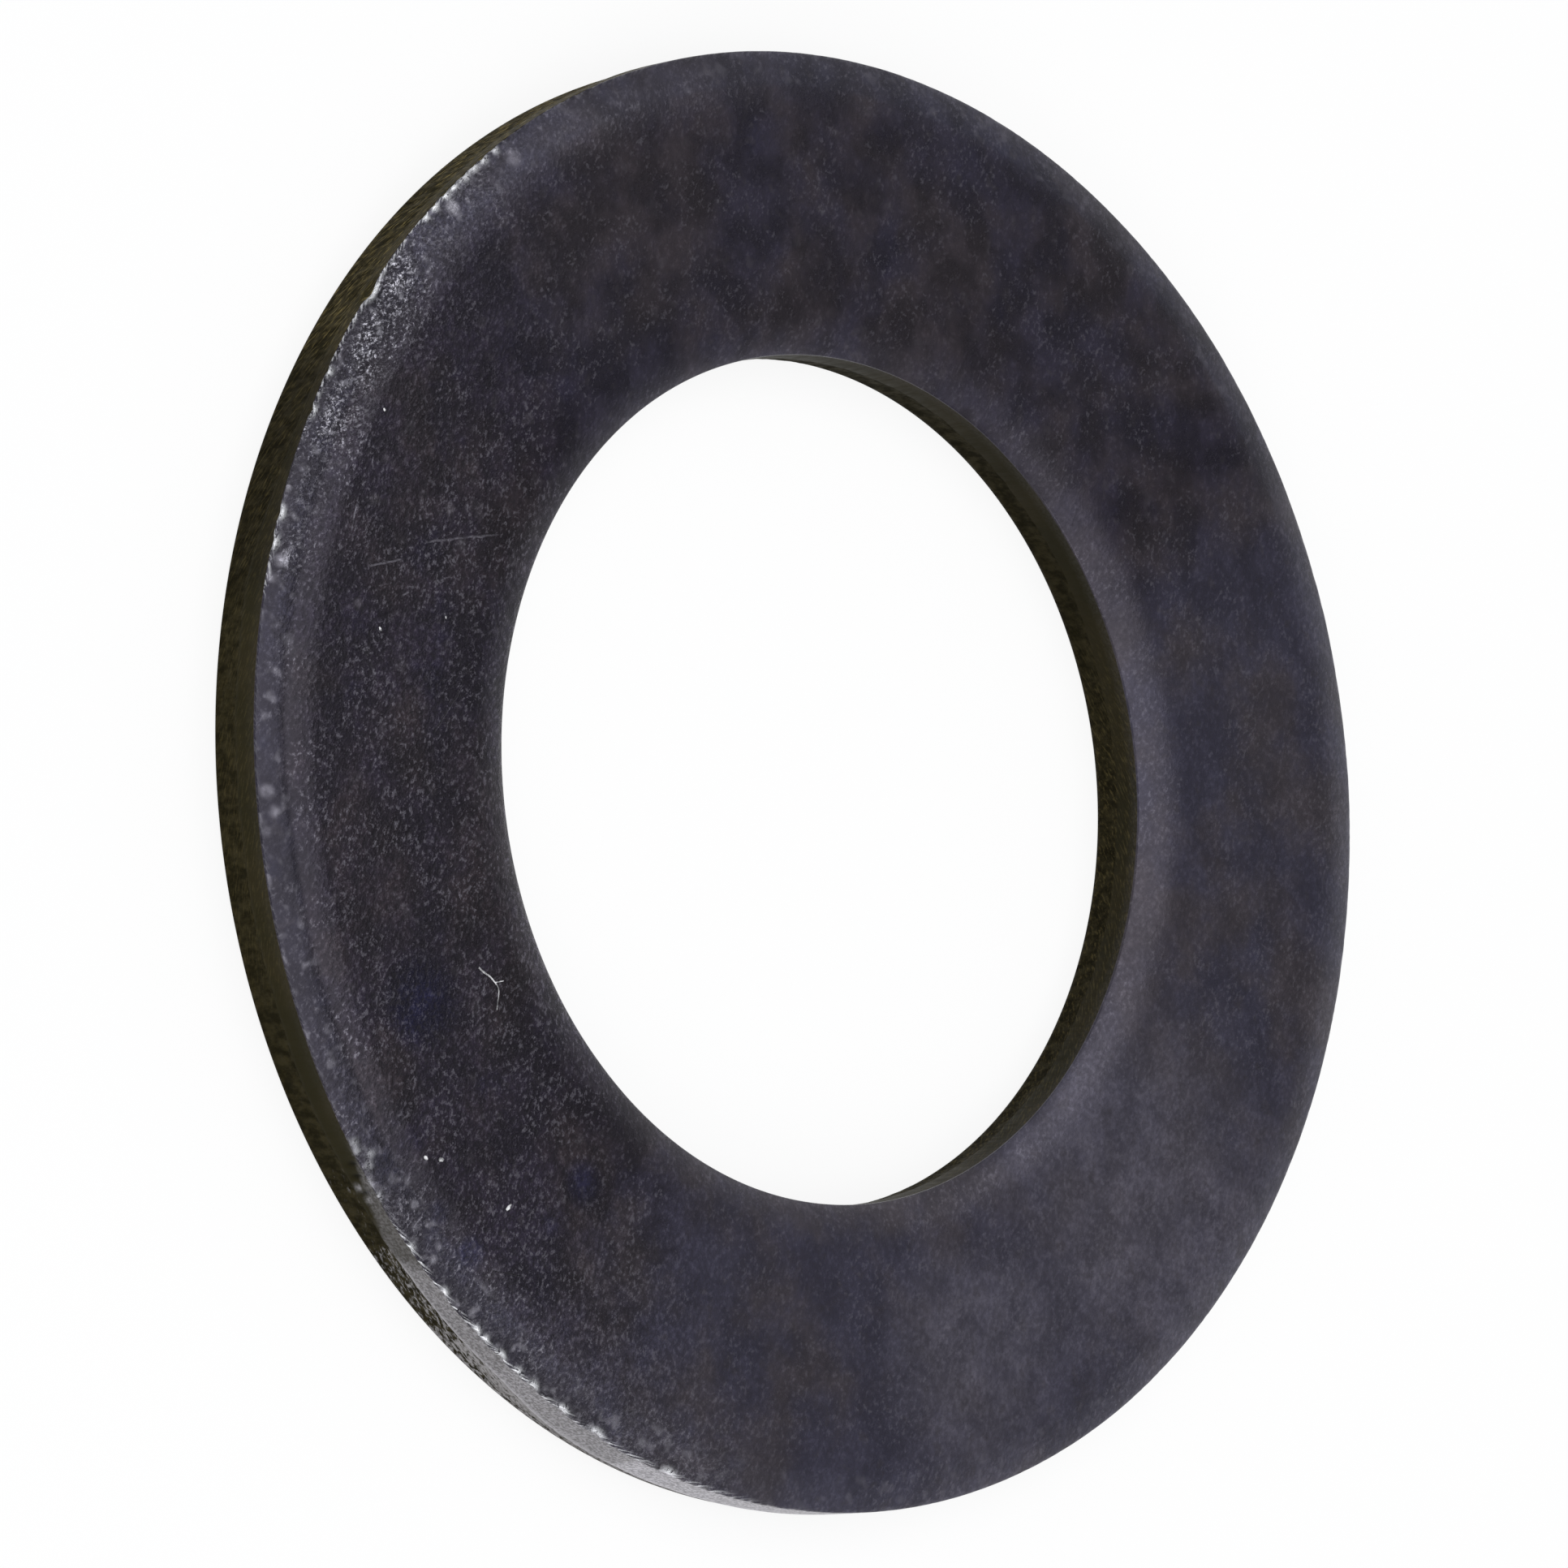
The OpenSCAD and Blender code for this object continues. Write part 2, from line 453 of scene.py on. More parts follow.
def unrollRing(made):
    # the ring unrolled into three strips, one above the other
    strips = 3
    turn = 360 / strips
    endGap, endReach = (0.005, 0.985)       # each strip keeps clear of the map's edges
    rowGap, rowReach = (0.01, 0.98)         # and of its neighbours
    step = np.hypot(np.roll(radii, -1) - radii, np.roll(heights, -1) - heights)
    step = step * np.where(np.array(zones) == "under", 0.5, 1.0)
    across = np.append(0, np.cumsum(step)) / step.sum()
    strip = np.floor(angles / turn)
    nowU = endGap + endReach * (angles - strip * turn) / turn
    nextU = endGap + endReach * (np.append(angles[1:], 360) - strip * turn) / turn
    lowV = (strip[:, None] + rowGap + rowReach * across[None, :-1]) / strips
    highV = (strip[:, None] + rowGap + rowReach * across[None, 1:]) / strips
    spots = np.empty((len(turns), len(radii), 4, 2), np.float32)
    spots[..., 0:2, 0] = nowU[:, None, None]
    spots[..., 2:4, 0] = nextU[:, None, None]
    spots[..., [0, 3], 1] = lowV[..., None]
    spots[..., [1, 2], 1] = highV[..., None]
    made.uv_layers.new(name="OFBake").data.foreach_set("uv", spots.reshape(-1))


mesh = buildRing()
unrollRing(mesh)
washer = bpy.data.objects.new("washer_ring", mesh)
bpy.context.scene.collection.objects.link(washer)
print(f"ring: {2 * len(mesh.polygons)} triangles")


# node helpers
def feed(tree, socket, value):
    if isinstance(value, bpy.types.NodeSocket):
        tree.links.new(value, socket)
    else:
        socket.default_value = value


def put(tree, kind, options=None, **sockets):
    made = tree.nodes.new("ShaderNode" + kind)
    for name, value in (options or {}).items():
        setattr(made, name, value)
    for name, value in sockets.items():
        feed(tree, made.inputs[name.replace("_", " ")], value)
    return made


def calc(tree, operation, *values):
    made = put(tree, "Math", {"operation": operation})
    for k, value in enumerate(values):
        feed(tree, made.inputs[k], value)
    return made.outputs[0]


def times(tree, first, *others):
    for other in others:
        first = calc(tree, "MULTIPLY", first, other)
    return first


def plus(tree, first, second):
    made = put(tree, "Math", {"operation": "ADD", "use_clamp": True})
    feed(tree, made.inputs[0], first)
    feed(tree, made.inputs[1], second)
    return made.outputs[0]


def between(tree, value, low, high, toLow=0.0, toHigh=1.0):
    made = put(tree, "MapRange", {"interpolation_type": "SMOOTHSTEP"})
    for k, one in enumerate((value, low, high, toLow, toHigh)):
        feed(tree, made.inputs[k], one)
    return made.outputs[0]


def dimmed(tree, value, least):
    # 1 where the value is 0, down to the least where it is 1
    return between(tree, value, 0, 1, 1, least)


def blend(tree, factor, first, second, mode="MIX"):
    made = put(tree, "Mix", {"data_type": "RGBA", "blend_type": mode})
    for k, value in ((0, factor), (6, first), (7, second)):
        feed(tree, made.inputs[k], value)
    return made.outputs[2]


def darkened(tree, colour, level):
    tint = put(tree, "CombineColor", Red=level, Green=level, Blue=level).outputs[0]
    return blend(tree, 1.0, colour, tint, "MULTIPLY")


def vectors(tree, operation, first, second):
    made = put(tree, "VectorMath", {"operation": operation})
    feed(tree, made.inputs[0], first)
    feed(tree, made.inputs[1], second)
    return made


def moved(tree, where, shift=(0, 0, 0), scale=(1, 1, 1)):
    return put(tree, "Mapping", Vector=where, Location=shift, Scale=scale).outputs["Vector"]


def grain(tree, where, length, detail=2.0, roughness=0.5):
    made = put(tree, "TexNoise", Vector=where, Scale=1 / length, Detail=detail, Roughness=roughness)
    return made.outputs["Fac"]


def attribute(tree, name, output="Fac"):
    return put(tree, "Attribute", {"attribute_name": name}).outputs[output]


def turned(tree, where, angle):
    turn = math.radians(angle)
    return put(tree, "VectorRotate", {"rotation_type": "Z_AXIS"}, Vector=where, Angle=turn).outputs[0]


def brushed(tree, where, angle, length, stretch, detail=3.0, roughness=0.65):
    # grain drawn out along one direction
    drawnOut = moved(tree, turned(tree, where, -angle), scale=(1 / stretch, 1, 1))
    return grain(tree, drawnOut, length, detail, roughness)


def stroke(tree, offset, angle, reach, width):
    # a straight mark through the middle of offset
    parts = put(tree, "SeparateXYZ", Vector=turned(tree, offset, -angle))
    along = between(tree, calc(tree, "ABSOLUTE", parts.outputs[0]), 0.6 * reach, reach, 1, 0)
    across = between(tree, calc(tree, "ABSOLUTE", parts.outputs[1]), 0.2 * width, width, 1, 0)
    return times(tree, along, across)


def spotAt(tree, plan, x, y, radius):
    gap = vectors(tree, "DISTANCE", plan, (x * mm, y * mm, 0)).outputs["Value"]
    return between(tree, gap, 0.25 * radius, radius, 1, 0)


def newFinish(name):
    finish = bpy.data.materials.new(name)
    finish.use_nodes = True
    tree = finish.node_tree
    shader = tree.nodes["Principled BSDF"]
    where = tree.nodes.new("ShaderNodeTexCoord").outputs["Object"]
    return finish, tree, shader, where


# black oxide of the faces and the rolled edges; places are in millimetres
oxide = {
    "blueBlack": (0.0079, 0.0061, 0.0112, 1),
    "brownGrey": (0.0110, 0.0081, 0.0094, 1),
    "navy": (0.0036, 0.0037, 0.0145, 1),
    "paleSpot": (0.0300, 0.0270, 0.0315, 1),
    "paintedSheenPatch": (0.0660, 0.0620, 0.0790, 1),
    "paintedBlueSheen": (0.0330, 0.0320, 0.0490, 1),
    "paintedBrownSheen": (0.0410, 0.0360, 0.0420, 1),
    "rolledBlue": (0.0105, 0.0110, 0.0190, 1),
    "crystal": (0.215, 0.205, 0.240, 1),
    "brightCrystal": (0.66, 0.65, 0.72, 1),
    "bareSteel": (0.80, 0.81, 0.84, 1),
    "bareMetallic": 0.45,                   # torn and rough, so it scatters light too
    "beadLength": 0.050 * mm,               # the bare fringe of the lip is broken into beads
    "gloss": 0.42,
    "glossTint": (0.90, 0.83, 1.0, 1),
    "roughness": (0.35, 0.21),              # in the hollows of the grain and on its tops
    "gritLength": 0.031 * mm,
    "gritAngle": 142,                       # the grain lies along this direction
    "gritStretch": 1.35,
    "scaleLength": 0.021 * mm,              # bright scales on the roll
    "scaleAngle": 100,
    "scaleStretch": 1.8,
    "patchLength": 0.95 * mm,
    # slower grains: length, and where each is read so that no two look alike
    "smudge": (0.42 * mm, (0.03, 0.01, 0)),
    "mottle": (0.075 * mm, (0.02, 0.03, 0)),
    "cluster": (0.45 * mm, (0.05, 0.02, 0)),
    "island": (0.15 * mm, (0.07, 0.04, 0)),
    "curl": (0.045 * mm, (0.02, 0.08, 0)),  # dark curling lines between the scales
    "cloud": (0.34 * mm, (0.04, 0.09, 0)),
    "blob": (0.11 * mm, (0.09, 0.06, 0)),
    # ranges: where a grain starts to count and counts in full, then what it gives
    "patchRange": (0.40, 0.64),
    "smudgeRange": (0.56, 0.76),
    "clusterRange": (0.38, 0.62, 0, 1),
    "islandRange": (0.60, 0.70),
    "curlRange": (0.012, 0.055, 1, 0),
    "gritShade": (0.30, 0.68, 0.30, 1.75),
    "mottleShade": (0.3, 0.7, 0.7, 1.35),
    "cloudShade": (0.36, 0.64, -0.4, 0.45),
    "paintedSheenBreakup": (0.35, 0.6, 0.5, 0.75),
    "fleckRange": (0.53, 0.70),
    "blobRange": (0.54, 0.78),
    "scaleRange": (0.50, 0.64),
    "scaleShare": (0.32, 0.62, 0.15, 0.9),
    "beadRange": (0.50, 0.57),
    "relief": 0.0055 * mm,
    "scratches": [      # from x, y to x, y
        (-1.947, -4.284, -1.975, -3.909), (-2.075, -3.763, -2.080, -2.969),
        (-1.706, -4.009, -1.739, -3.911), (-2.407, -4.297, -2.208, -4.389),
    ],
    "darkScratches": [(-0.683, -3.877, -1.045, -3.498), (3.190, -4.020, 3.295, -3.656)],
    "scratchWidth": 0.010 * mm,
    "scratchWaver": 0.035 * mm,
    "waverLength": 0.12 * mm,
    "paleSpots": [
        (-2.424, -4.133), (-2.043, -3.367), (-2.304, -3.436), (-1.686, -4.409), (-2.924, -3.708),
    ],
    "paleRadius": 0.068 * mm,
    "rollGlints": [      # painted glints: bright metallic spots on the roll; x, y, radius, amount
        (-4.485, -2.990, 0.080, 0.75), (-4.820, -2.353, 0.095, 0.50), (-2.058, -5.013, 0.070, 0.55),
        (-1.492, -5.057, 0.065, 0.35), (-0.432, -5.408, 0.080, 0.55), (-0.282, -5.375, 0.070, 0.40),
        (-0.146, -5.453, 0.060, 0.25), (2.647, -4.580, 0.050, 0.45), (3.058, -4.458, 0.050, 0.45),
        (2.437, -4.743, 0.060, 0.25), (2.802, -4.589, 0.055, 0.20),
    ],
    "smudges": [        # x, y, radius
        (2.358, -4.802, 0.17), (3.052, -4.156, 0.17), (2.727, -4.392, 0.13), (2.702, -3.005, 0.24),
        (1.200, -4.300, 0.45), (-0.780, -5.390, 0.08), (0.132, -5.418, 0.10), (-2.227, -4.992, 0.07),
    ],
    # painted sheen: soft lighter patches on the face; x, y, radius
    "paintedSheenPatches": [(3.55, 2.55, 2.0), (4.50, 0.60, 1.2)],
}


def scratchLines(tree, where, rows):
    # straight marks from x, y to x, y that waver a little
    waver = oxide["scratchWaver"]
    drift = put(tree, "TexNoise", Vector=where, Scale=1 / oxide["waverLength"]).outputs["Color"]
    drift = vectors(tree, "MULTIPLY", drift, (waver, waver, 0)).outputs[0]
    wavering = vectors(tree, "ADD", where, drift).outputs[0]
    lines = 0.0
    for x0, y0, x1, y1 in rows:
        middle = ((x0 + x1) / 2 * mm + waver / 2, (y0 + y1) / 2 * mm + waver / 2, 0)
        offset = vectors(tree, "SUBTRACT", wavering, middle).outputs[0]
        reach = math.hypot(x1 - x0, y1 - y0) / 2 * mm
        turn = math.degrees(math.atan2(y1 - y0, x1 - x0))
        lines = plus(tree, lines, stroke(tree, offset, turn, reach, oxide["scratchWidth"]))
    return lines


def oxideFinish():
    finish, tree, shader, where = newFinish("black_oxide")
    shader.inputs["Specular IOR Level"].default_value = oxide["gloss"]
    shader.inputs["Specular Tint"].default_value = oxide["glossTint"]
    plan = moved(tree, where, scale=(1, 1, 0))      # seen from above
    wall = attribute(tree, "wallPlace", "Vector")
    rolled = attribute(tree, "rolled")
    sparkle = attribute(tree, "sparkle")
    shaded = attribute(tree, "shaded")
    paintedSheen = attribute(tree, "paintedSheen")
    crisp = times(tree, attribute(tree, "crisp"), dimmed(tree, shaded, 0.4))

    def slowGrain(name, detail=2.0, roughness=0.5):
        length, shift = oxide[name]
        return grain(tree, moved(tree, where, shift), length, detail, roughness)

    def inRange(value, name):
        return between(tree, value, *oxide[name])

    grit = brushed(tree, where, oxide["gritAngle"], oxide["gritLength"], oxide["gritStretch"], 3, 0.7)
    mottle = slowGrain("mottle")
    islands = slowGrain("island")
    patches = inRange(grain(tree, where, oxide["patchLength"], 4, 0.6), "patchRange")
    smudges = times(tree, inRange(slowGrain("smudge", 3, 0.55), "smudgeRange"), 0.4)
    for x, y, radius in oxide["smudges"]:
        smudges = plus(tree, smudges, spotAt(tree, plan, x, y, radius * mm))
    spots = times(tree, inRange(islands, "islandRange"), 0.4)
    for x, y in oxide["paleSpots"]:
        spots = plus(tree, spots, times(tree, spotAt(tree, plan, x, y, oxide["paleRadius"]), 0.7))
    # painted glints on the roll
    rollGlints = 0.0
    for x, y, radius, amount in oxide["rollGlints"]:
        rollGlints = plus(tree, rollGlints, times(tree, spotAt(tree, plan, x, y, radius * mm), amount))
    paintedSheenPatch = 0.0
    for x, y, radius in oxide["paintedSheenPatches"]:
        paintedSheenPatch = plus(tree, paintedSheenPatch, spotAt(tree, plan, x, y, radius * mm))

    scratches = scratchLines(tree, where, oxide["scratches"])
    darkScratches = scratchLines(tree, where, oxide["darkScratches"])
    curls = calc(tree, "ABSOLUTE", calc(tree, "SUBTRACT", slowGrain("curl", 1), 0.5))
    curls = times(tree, inRange(curls, "curlRange"), between(tree, sparkle, 0.05, 0.6))

    # colour of the oxide
    colour = blend(tree, patches, oxide["blueBlack"], oxide["brownGrey"])
    colour = blend(tree, smudges, colour, oxide["navy"])
    colour = blend(tree, times(tree, rolled, 0.7), colour, oxide["rolledBlue"])
    # painted sheen: lighter oxide in its sectors and soft patches
    paintedThinSheen = blend(tree, patches, oxide["paintedBlueSheen"], oxide["paintedBrownSheen"])
    colour = blend(tree, times(tree, paintedSheen, 0.75), colour, paintedThinSheen)
    paintedSheenPatch = times(tree, paintedSheenPatch, inRange(islands, "paintedSheenBreakup"))
    colour = blend(tree, paintedSheenPatch, colour, oxide["paintedSheenPatch"])
    colour = blend(tree, spots, colour, oxide["paleSpot"])
    shade = times(tree, inRange(grit, "gritShade"), inRange(mottle, "mottleShade"))
    shade = calc(tree, "MULTIPLY_ADD", calc(tree, "SUBTRACT", shade, 1.0), crisp, 1.0)
    clouds = inRange(slowGrain("cloud"), "cloudShade")
    clouds = calc(tree, "MULTIPLY_ADD", clouds, dimmed(tree, paintedSheen, 0.36), 1.0)
    shade = times(tree, shade, clouds, dimmed(tree, shaded, 0.45))
    shade = times(tree, shade, dimmed(tree, darkScratches, 0.3), dimmed(tree, curls, 0.4))
    colour = darkened(tree, colour, shade)

    # crystals and bare steel on it
    cluster = between(tree, inRange(slowGrain("cluster", 3), "clusterRange"), 0, 1, 0.25, 0.75)
    amount = calc(tree, "MULTIPLY_ADD", sparkle, 0.4, cluster)
    flecks = times(tree, inRange(grit, "fleckRange"), amount, crisp)
    blobs = inRange(slowGrain("blob", 1), "blobRange")
    blobs = times(tree, blobs, rolled, attribute(tree, "blotchy"), 0.45)
    scales = brushed(tree, where, oxide["scaleAngle"], oxide["scaleLength"], oxide["scaleStretch"])
    scales = times(tree, inRange(scales, "scaleRange"), sparkle, inRange(islands, "scaleShare"))
    crystal = plus(tree, plus(tree, flecks, blobs), scales)
    crystal = times(tree, crystal, dimmed(tree, curls, 0.2), dimmed(tree, darkScratches, 0.2))
    crystal = times(tree, crystal, between(tree, smudges, 0.3, 1, 1, 0.4))
    crystal = plus(tree, crystal, times(tree, scratches, between(tree, mottle, 0.35, 0.65, 0.05, 0.6)))
    crystal = plus(tree, crystal, times(tree, rollGlints, between(tree, mottle, 0.3, 0.6, 0.5, 1)))
    # painted glints: the crystals are brighter where the roll sparkles
    crystalColour = blend(tree, sparkle, oxide["crystal"], oxide["brightCrystal"])
    colour = blend(tree, crystal, colour, crystalColour)
    beads = grain(tree, moved(tree, wall, scale=(1, 0.5, 1)), oxide["beadLength"], 1)
    beads = times(tree, attribute(tree, "bareMetal"), inRange(beads, "beadRange"))
    bare = times(tree, beads, between(tree, grit, 0.32, 0.44))
    bare = plus(tree, bare, times(tree, attribute(tree, "shine"), between(tree, grit, 0.36, 0.50)))
    colour = blend(tree, bare, colour, oxide["bareSteel"])
    metal = plus(tree, crystal, times(tree, bare, oxide["bareMetallic"]))
    tree.links.new(colour, shader.inputs["Base Color"])
    tree.links.new(metal, shader.inputs["Metallic"])
    rough = between(tree, grit, 0.3, 0.7, *oxide["roughness"])
    tree.links.new(rough, shader.inputs["Roughness"])
    height = calc(tree, "MULTIPLY_ADD", mottle, 0.7, grit)
    height = times(tree, height, calc(tree, "MULTIPLY_ADD", sparkle, 0.9, crisp))
    height = calc(tree, "MULTIPLY_ADD", plus(tree, scratches, darkScratches), -0.4, height)
    height = calc(tree, "MULTIPLY_ADD", curls, -0.8, height)
    relief = put(tree, "Bump", Strength=1.0, Distance=oxide["relief"], Height=height)
    tree.links.new(relief.outputs[0], shader.inputs["Normal"])
    return finish


# smooth sheared band
land = {
    "olive": (0.0192, 0.0162, 0.0058, 1),
    "brown": (0.0252, 0.0203, 0.0080, 1),
    "stroke": (0.1750, 0.1380, 0.0560, 1),
    "strokeAngle": 25,                      # from the line of the rim
    "strokeLength": 0.018 * mm,
    "strokeStretch": 5,
    "strokeRange": (0.48, 0.70),
    "shadeLevel": 0.35,                     # how dark the painted shade on the walls is
    "rubbedSteel": (0.58, 0.565, 0.605, 1),
    "rubbedDark": (0.27, 0.262, 0.284, 1),
    "gloss": 0.03,
    "roughness": (0.42, 0.60),
    "dragAngle": 90,                        # the shear drew its lines straight down
    "dragLength": 0.035 * mm,
    "dragStretch": 8,
    "fineLength": 0.022 * mm,
    "stainLength": 0.5 * mm,
    "relief": 0.0014 * mm,
}


def wallStrokes(tree, wall):
    # pale hairs that the torn metal left, thick in some sectors
    hairs = brushed(tree, wall, land["strokeAngle"], land["strokeLength"], land["strokeStretch"], 4)
    return times(tree, between(tree, hairs, *land["strokeRange"]), attribute(tree, "strokes"))


def wallShaded(tree, colour):
    return darkened(tree, colour, dimmed(tree, attribute(tree, "shaded"), land["shadeLevel"]))


def landFinish():
    finish, tree, shader, where = newFinish("sheared_band")
    shader.inputs["Specular IOR Level"].default_value = land["gloss"]
    wall = attribute(tree, "wallPlace", "Vector")
    drag = brushed(tree, wall, land["dragAngle"], land["dragLength"], land["dragStretch"], 3, 0.6)
    fine = grain(tree, where, land["fineLength"], 2)
    stain = between(tree, grain(tree, where, land["stainLength"], 3), 0.38, 0.62)
    colour = blend(tree, stain, land["olive"], land["brown"])
    colour = blend(tree, times(tree, wallStrokes(tree, wall), 0.8), colour, land["stroke"])
    colour = wallShaded(tree, colour)
    steel = blend(tree, between(tree, fine, 0.36, 0.64), land["rubbedDark"], land["rubbedSteel"])
    rubbed = times(tree, attribute(tree, "rubbed"), between(tree, drag, 0.2, 0.6, 0.7, 1))
    colour = blend(tree, rubbed, colour, steel)
    edge = times(tree, attribute(tree, "breakEdge"), between(tree, rubbed, 0.05, 0.4), 0.5)
    colour = blend(tree, edge, colour, land["rubbedSteel"])
    tree.links.new(colour, shader.inputs["Base Color"])
    tree.links.new(rubbed, shader.inputs["Metallic"])
    tree.links.new(between(tree, drag, 0.2, 0.8, *land["roughness"]), shader.inputs["Roughness"])
    relief = put(tree, "Bump", Strength=0.5, Distance=land["relief"], Height=drag)
    tree.links.new(relief.outputs[0], shader.inputs["Normal"])
    return finish


# torn band under it
torn = {
    "pit": (0.0118, 0.0098, 0.0038, 1),
    "crest": (0.0290, 0.0236, 0.0094, 1),
    "greyCrest": (0.29, 0.28, 0.285, 1),
    "gloss": 0.03,
    "roughness": (0.85, 0.60),              # in the pits and on the crests
    "coarseLength": 0.070 * mm,
    "fineLength": 0.020 * mm,
    "streakAngle": 8,                       # from the line of the rim
    "streakLength": 0.034 * mm,
    "streakStretch": 1.8,
    "relief": 0.005 * mm,
}


def tornFinish():
    finish, tree, shader, where = newFinish("torn_band")
    shader.inputs["Specular IOR Level"].default_value = torn["gloss"]
    wall = attribute(tree, "wallPlace", "Vector")
    coarse = grain(tree, moved(tree, where, scale=(1, 1, 0.5)), torn["coarseLength"], 4, 0.65)
    fine = grain(tree, where, torn["fineLength"], 2)
    colour = blend(tree, between(tree, coarse, 0.36, 0.66), torn["pit"], torn["crest"])
    colour = blend(tree, wallStrokes(tree, wall), colour, land["stroke"])
    colour = wallShaded(tree, colour)
    smeared = attribute(tree, "smeared")
    streak = brushed(tree, wall, torn["streakAngle"], torn["streakLength"], torn["streakStretch"], 4)
    bright = between(tree, calc(tree, "MULTIPLY_ADD", smeared, 0.32, streak), 0.62, 0.82)
    bright = times(tree, bright, between(tree, smeared, 0, 0.5))
    colour = blend(tree, bright, colour, torn["greyCrest"])
    tree.links.new(colour, shader.inputs["Base Color"])
    tree.links.new(between(tree, coarse, 0.3, 0.7, *torn["roughness"]), shader.inputs["Roughness"])
    height = calc(tree, "MULTIPLY_ADD", fine, 0.4, coarse)
    relief = put(tree, "Bump", Strength=0.8, Distance=torn["relief"], Height=height)
    tree.links.new(relief.outputs[0], shader.inputs["Normal"])
    return finish


for finish in (oxideFinish(), landFinish(), tornFinish()):
    mesh.materials.append(finish)
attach(washer, "root")
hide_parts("washer")
print("finishes: black oxide, sheared band, torn band")


# dust on the face: one fibre and a few specks, places in millimetres
dust = {
    "fibre": [(1.029, -3.734), (1.070, -3.691), (1.100, -3.643), (1.150, -3.604),
              (1.192, -3.576), (1.245, -3.585), (1.297, -3.606), (1.345, -3.620)],
    "branch": [(1.150, -3.604), (1.148, -3.560), (1.146, -3.519)],
    "fibreRadius": 0.0075 * mm,
    "sides": 8,
    # x, y, half length, half width, turn in degrees
    "specks": [
        (-1.489, -4.237, 0.018, 0.010, 20), (2.324, -4.461, 0.022, 0.016, 60),
        (2.354, -4.320, 0.026, 0.016, 80), (2.774, -3.752, 0.036, 0.014, 126),
        (-3.06, -3.93, 0.014, 0.009, 10), (-1.52, -3.61, 0.010, 0.008, 0),
    ],
    "pale": (0.80, 0.80, 0.82, 1),
    "grey": (0.20, 0.20, 0.21, 1),
    "lintLength": 0.04 * mm,
    "roughness": 0.8,
}


def smoothPath(points, rounds=2):
    for _ in range(rounds):
        cut = [points[0]]
        for a, b in zip(points, points[1:]):
            cut += [a.lerp(b, 0.25), a.lerp(b, 0.75)]
        points = cut + [points[-1]]
    return points


def addTube(shape, points, radius):
    sides = dust["sides"]
    spokes = [2 * math.pi * n / sides for n in range(sides)]
    circle = [Vector((math.cos(s), math.sin(s), 0)) for s in spokes]
    rings = []
    for k, point in enumerate(points):
        ahead = points[min(k + 1, len(points) - 1)] - points[max(k - 1, 0)]
        turn = ahead.to_track_quat("Z", "Y")
        thick = radius * (1.15 - 0.5 * k / len(points))     # it thins towards its end
        rings.append([shape.verts.new(point + turn @ c * thick) for c in circle])
    for low, high in zip(rings, rings[1:]):
        for n in range(sides):
            shape.faces.new((low[n], low[(n + 1) % sides], high[(n + 1) % sides], high[n]))
    shape.faces.new(rings[0][::-1])
    shape.faces.new(rings[-1])


def dustFinish():
    finish, tree, shader, where = newFinish("lint")
    shader.inputs["Roughness"].default_value = dust["roughness"]
    lint = between(tree, grain(tree, where, dust["lintLength"]), 0.35, 0.65)
    colour = blend(tree, lint, dust["grey"], dust["pale"])
    tree.links.new(colour, shader.inputs["Base Color"])
    return finish


def makeDust():
    shape = bmesh.new()
    for name, shrink in (("fibre", 1.0), ("branch", 0.6)):
        radius = dust["fibreRadius"] * shrink
        points = [Vector((x * mm, y * mm, topZ + radius)) for x, y in dust[name]]
        addTube(shape, smoothPath(points), radius)
    for x, y, half, width, turn in dust["specks"]:
        size = Matrix.Diagonal((half * mm, width * mm, width * mm * 0.55, 1))
        place = Matrix.Translation((x * mm, y * mm, topZ + width * mm * 0.35))
        spun = place @ Matrix.Rotation(math.radians(turn), 4, "Z") @ size
        made = bmesh.ops.create_icosphere(shape, subdivisions=2, radius=1.0)
        for vert in made["verts"]:
            vert.co *= 1 + 0.35 * noise.noise(vert.co * 1.7 + Vector((x, y, 0)) * 9)    # lumpy
        bmesh.ops.transform(shape, matrix=spun, verts=made["verts"])
    data = bpy.data.meshes.new("dust")
    shape.to_mesh(data)
    shape.free()
    data.polygons.foreach_set("use_smooth", np.ones(len(data.polygons), bool))
    data.materials.append(dustFinish())
    piece = bpy.data.objects.new("dust", data)
    bpy.context.scene.collection.objects.link(piece)
    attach(piece, "root")
    print(f"dust: {len(data.polygons)} faces")


makeDust()


# stage: floor, soft boxes, sky
stage = {
    "floorSize": 2.0,
    "floorDrop": 0.002 * mm,
    "floorColour": (0.93, 0.93, 0.93, 1),
    "floorRoughness": 0.9,
    "floorGloss": 0.1,
    "floorWhite": 0.86,                 # how far the floor is lifted to plain white where it is seen
    "sky": (0.98, 0.985, 1.0, 1),
    "skyFar": 0.065,                    # strength of the sky behind the washer and in front of it
    "skyNear": 0.52,
    "skySides": 0.42,                   # added behind it to both sides
    "skyLow": 0.55,                     # added low down behind it, as from a pale backdrop
    "skyLowRise": (0.25, 0.65),         # where that starts to fade and ends, as sines of the height
    # name, place, width across, power in watts, colour
    "lamps": [
        ("top_box", (-0.01, -0.028, 0.16), 0.24, 0.205, (0.98, 0.99, 1.0)),
        ("side_box", (-0.058, 0.0745, 0.129), 0.06, 0.012, (0.98, 0.99, 1.0)),
        ("key_box", (0.12, -0.10, 0.10), 0.10, 0.070, (1.0, 0.99, 0.97)),
    ],
}


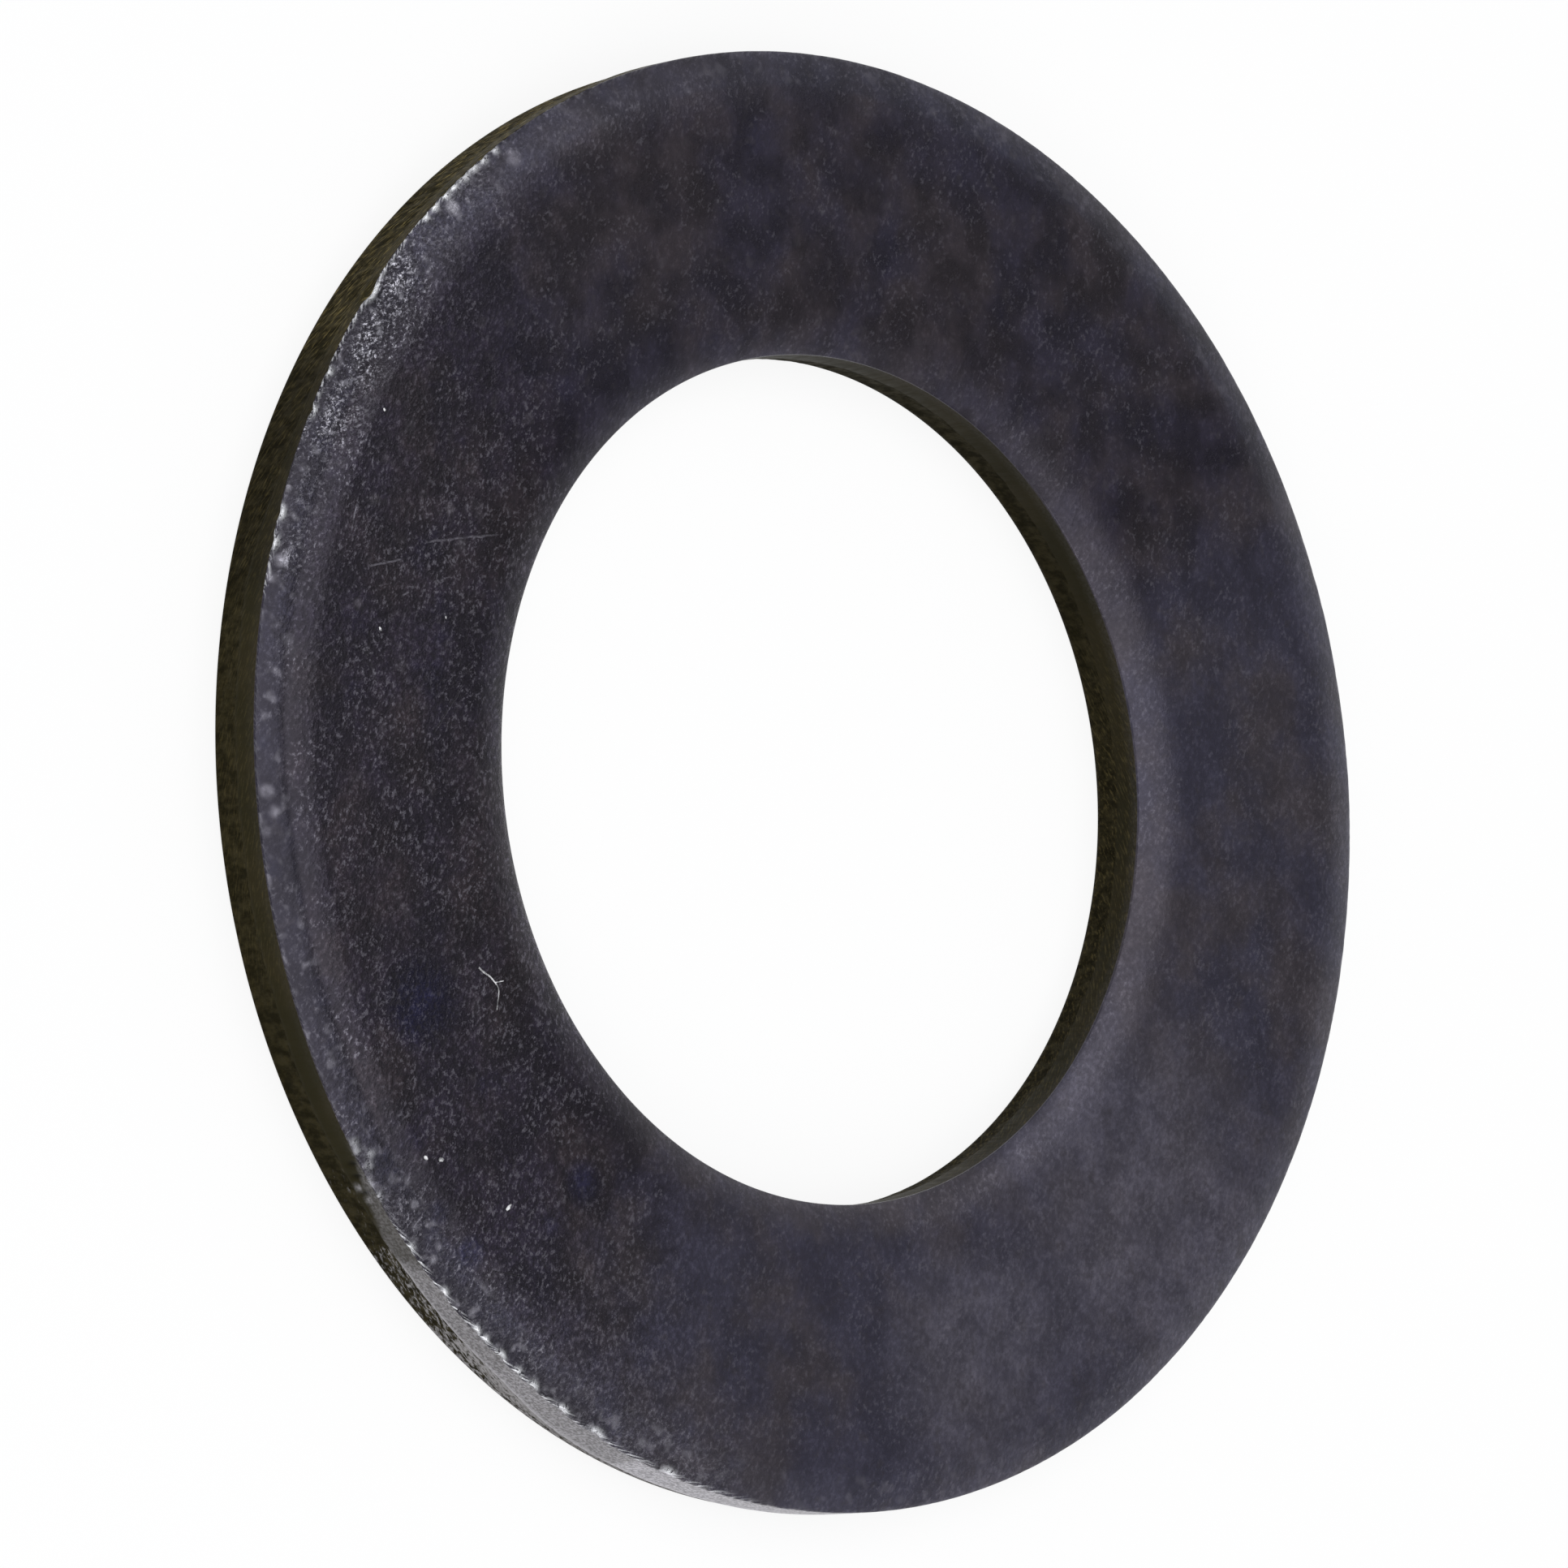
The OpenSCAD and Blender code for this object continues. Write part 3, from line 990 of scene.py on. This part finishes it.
def makeFloor():
    bpy.ops.mesh.primitive_plane_add(size=stage["floorSize"], location=(0, 0, -stage["floorDrop"]))
    floor = bpy.context.object
    floor.name = "floor"
    finish, tree, shader, _ = newFinish("floor_white")
    shader.inputs["Base Color"].default_value = stage["floorColour"]
    shader.inputs["Roughness"].default_value = stage["floorRoughness"]
    shader.inputs["Specular IOR Level"].default_value = stage["floorGloss"]
    path = put(tree, "LightPath")
    seen = 0.0
    for ray in ("Is Camera Ray", "Is Glossy Ray", "Is Transmission Ray"):
        seen = plus(tree, seen, path.outputs[ray])
    mixed = put(tree, "MixShader", Fac=times(tree, seen, stage["floorWhite"]))
    tree.links.new(shader.outputs[0], mixed.inputs[1])
    tree.links.new(put(tree, "Emission", Color=(1, 1, 1, 1)).outputs[0], mixed.inputs[2])
    tree.links.new(mixed.outputs[0], tree.nodes["Material Output"].inputs["Surface"])
    floor.data.materials.append(finish)


def makeLights():
    world = bpy.data.worlds.new("studio")
    world.use_nodes = True
    tree = world.node_tree
    sky = tree.nodes["Background"]
    sky.inputs["Color"].default_value = stage["sky"]
    towards = put(tree, "SeparateXYZ", Vector=put(tree, "TexCoord").outputs["Generated"])
    strength = between(tree, towards.outputs[1], -0.9, 0.9, stage["skyNear"], stage["skyFar"])
    low = between(tree, towards.outputs[2], *stage["skyLowRise"], 1, 0)
    low = times(tree, low, between(tree, towards.outputs[1], 0.2, 0.8))
    strength = calc(tree, "MULTIPLY_ADD", low, stage["skyLow"], strength)
    sides = between(tree, calc(tree, "ABSOLUTE", towards.outputs[0]), 0.20, 0.55)
    sides = times(tree, sides, between(tree, towards.outputs[1], 0.0, 0.4))
    strength = calc(tree, "MULTIPLY_ADD", sides, stage["skySides"], strength)
    tree.links.new(strength, sky.inputs["Strength"])
    bpy.context.scene.world = world
    for name, place, width, power, colour in stage["lamps"]:
        light = bpy.data.lights.new(name, "AREA")
        light.shape = "DISK"
        light.size = width
        light.energy = power
        light.color = colour
        lamp = bpy.data.objects.new(name, light)
        lamp.location = place
        lamp.rotation_euler = Vector(place).to_track_quat("Z", "Y").to_euler()
        bpy.context.scene.collection.objects.link(lamp)


makeFloor()
makeLights()
print("stage: floor, sky and", len(stage["lamps"]), "soft boxes")


# camera: the washer seen as in the photograph, its near side to the left
photo = {
    "side": 1932,                   # frame in pixels
    "centre": (1023.2, 959.0),      # where the middle of the lip's circle falls
    "radiusPixels": 903.3,          # outer radius at the middle's distance
    "distance": 13.03,              # in outer radii
    "tilt": 42.27,                  # from the axis to the line of sight, in degrees
    "roll": -7.50,
    "sensor": 36.0,
}


def makeCamera():
    tilt = math.radians(photo["tilt"])
    roll = math.radians(photo["roll"])
    middle = Vector((0, 0, topZ - ring["outerRoll"][1]))
    back = Vector((0, -math.sin(tilt), math.cos(tilt)))
    far = Vector((0, math.cos(tilt), math.sin(tilt)))
    low = Vector((1, 0, 0))
    right = far * math.cos(roll) - low * math.sin(roll)
    up = -(far * math.sin(roll) + low * math.cos(roll))
    pixel = outerRadius / photo["radiusPixels"]
    half = photo["side"] / 2
    aim = middle - right * (photo["centre"][0] - half) * pixel - up * (half - photo["centre"][1]) * pixel
    place = middle + back * photo["distance"] * outerRadius
    back = (place - aim).normalized()
    right = up.cross(back).normalized()
    up = back.cross(right)
    data = bpy.data.cameras.new("camera")
    data.sensor_width = photo["sensor"]
    data.lens = photo["sensor"] * photo["radiusPixels"] * photo["distance"] / photo["side"]
    data.clip_start = 1 * mm
    data.clip_end = 10
    camera = bpy.data.objects.new("camera", data)
    camera.matrix_world = Matrix.Translation(place) @ Matrix((right, up, back)).transposed().to_4x4()
    bpy.context.scene.collection.objects.link(camera)
    bpy.context.scene.camera = camera
    print(f"camera: {data.lens:.1f} mm lens, {place.length / mm:.1f} mm away")


makeCamera()
bpy.context.scene.view_settings.view_transform = "Standard"
